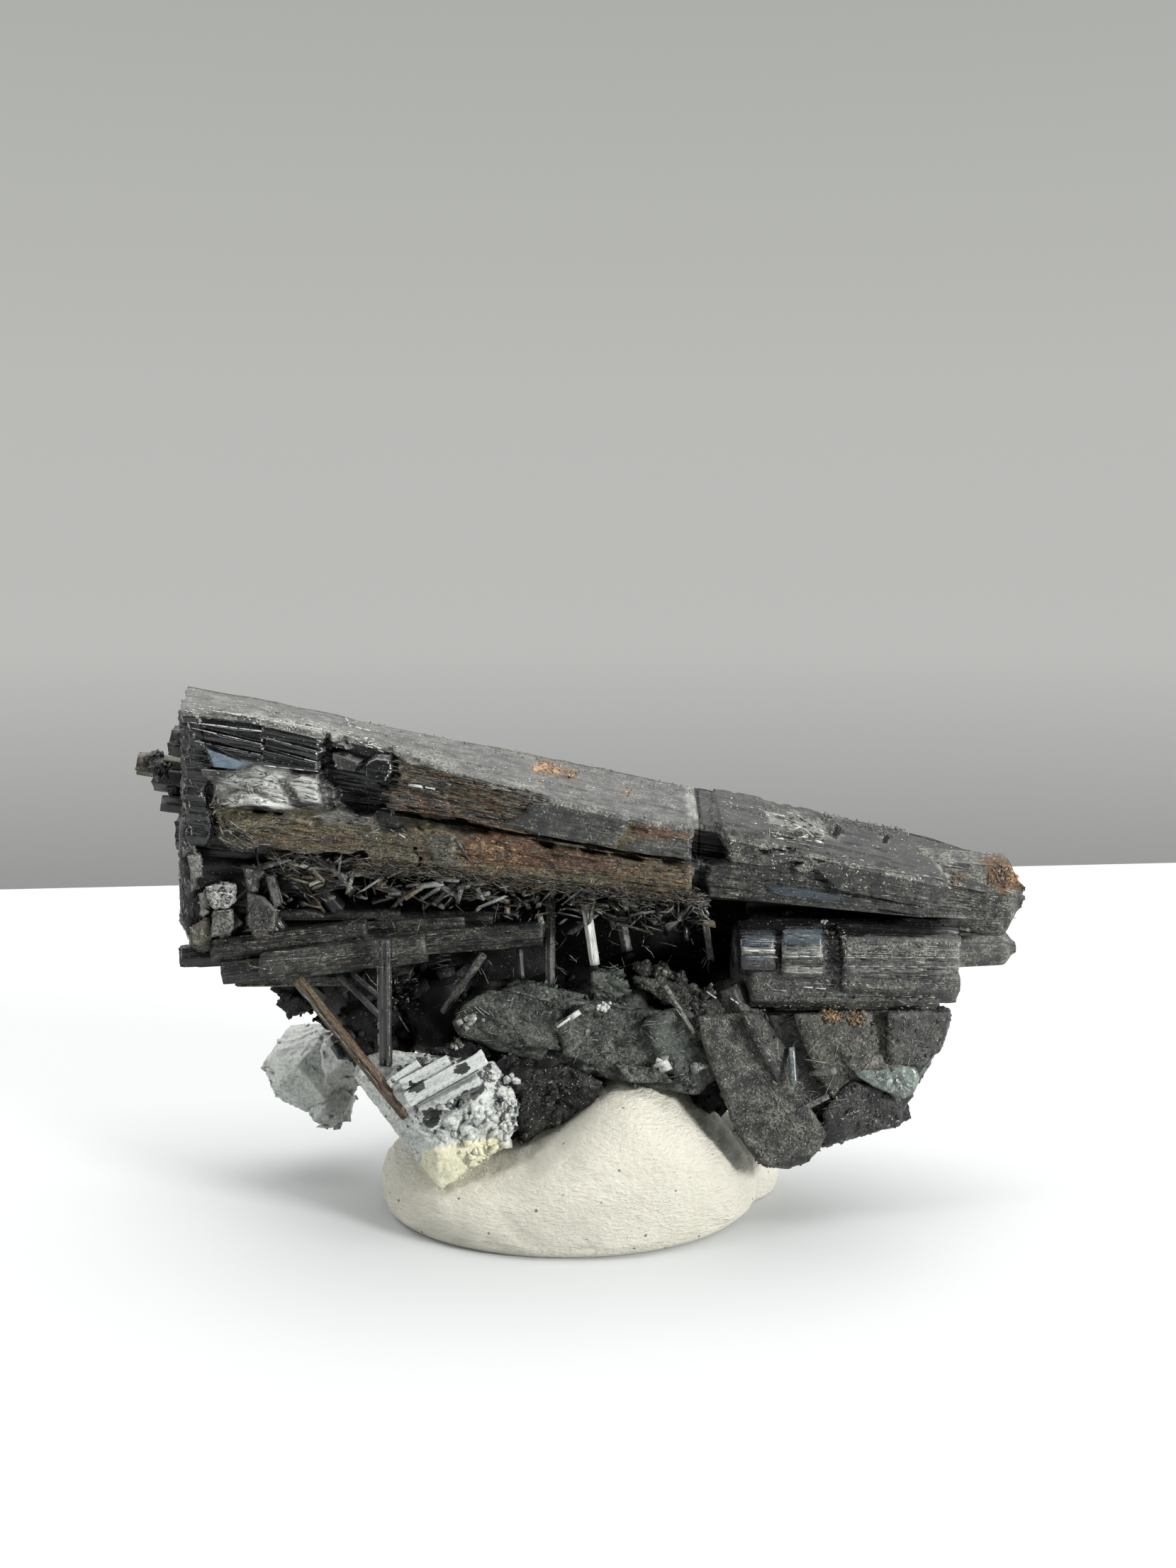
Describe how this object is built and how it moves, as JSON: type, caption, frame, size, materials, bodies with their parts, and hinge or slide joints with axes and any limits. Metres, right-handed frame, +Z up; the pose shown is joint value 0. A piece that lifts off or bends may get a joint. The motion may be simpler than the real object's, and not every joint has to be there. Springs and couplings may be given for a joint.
{
  "type": "schorl crystal specimen",
  "caption": "Long tapering black tourmaline crystal with smaller crystals, dark matrix and white feldspar, standing on a lump of off-white mineral tack.",
  "frame": {"origin": "centre of the flat foot of the tack that the specimen stands on", "axes": "+X along the main crystal towards its tapered tip, +Y to the back, +Z up"},
  "size_m": [0.0542, 0.0205, 0.0309],
  "materials": {
    "schorl": "glossy black mineral with lengthwise striations, dusty, with rust stains",
    "matrix": "dusty grey-green rock with white specks",
    "feldspar": "white to clear mineral with dark inclusions",
    "pale_crystal": "translucent grey-green mineral",
    "tack": "matte off-white putty with fine wrinkles and dark specks"
  },
  "bodies": {
    "root": {"schorl_cluster": "schorl", "grey_green_matrix": "matrix", "feldspar_front": "feldspar", "feldspar_back": "feldspar", "pale_green_crystal": "pale_crystal", "mineral_tack": "tack"}
  },
  "joints": []
}
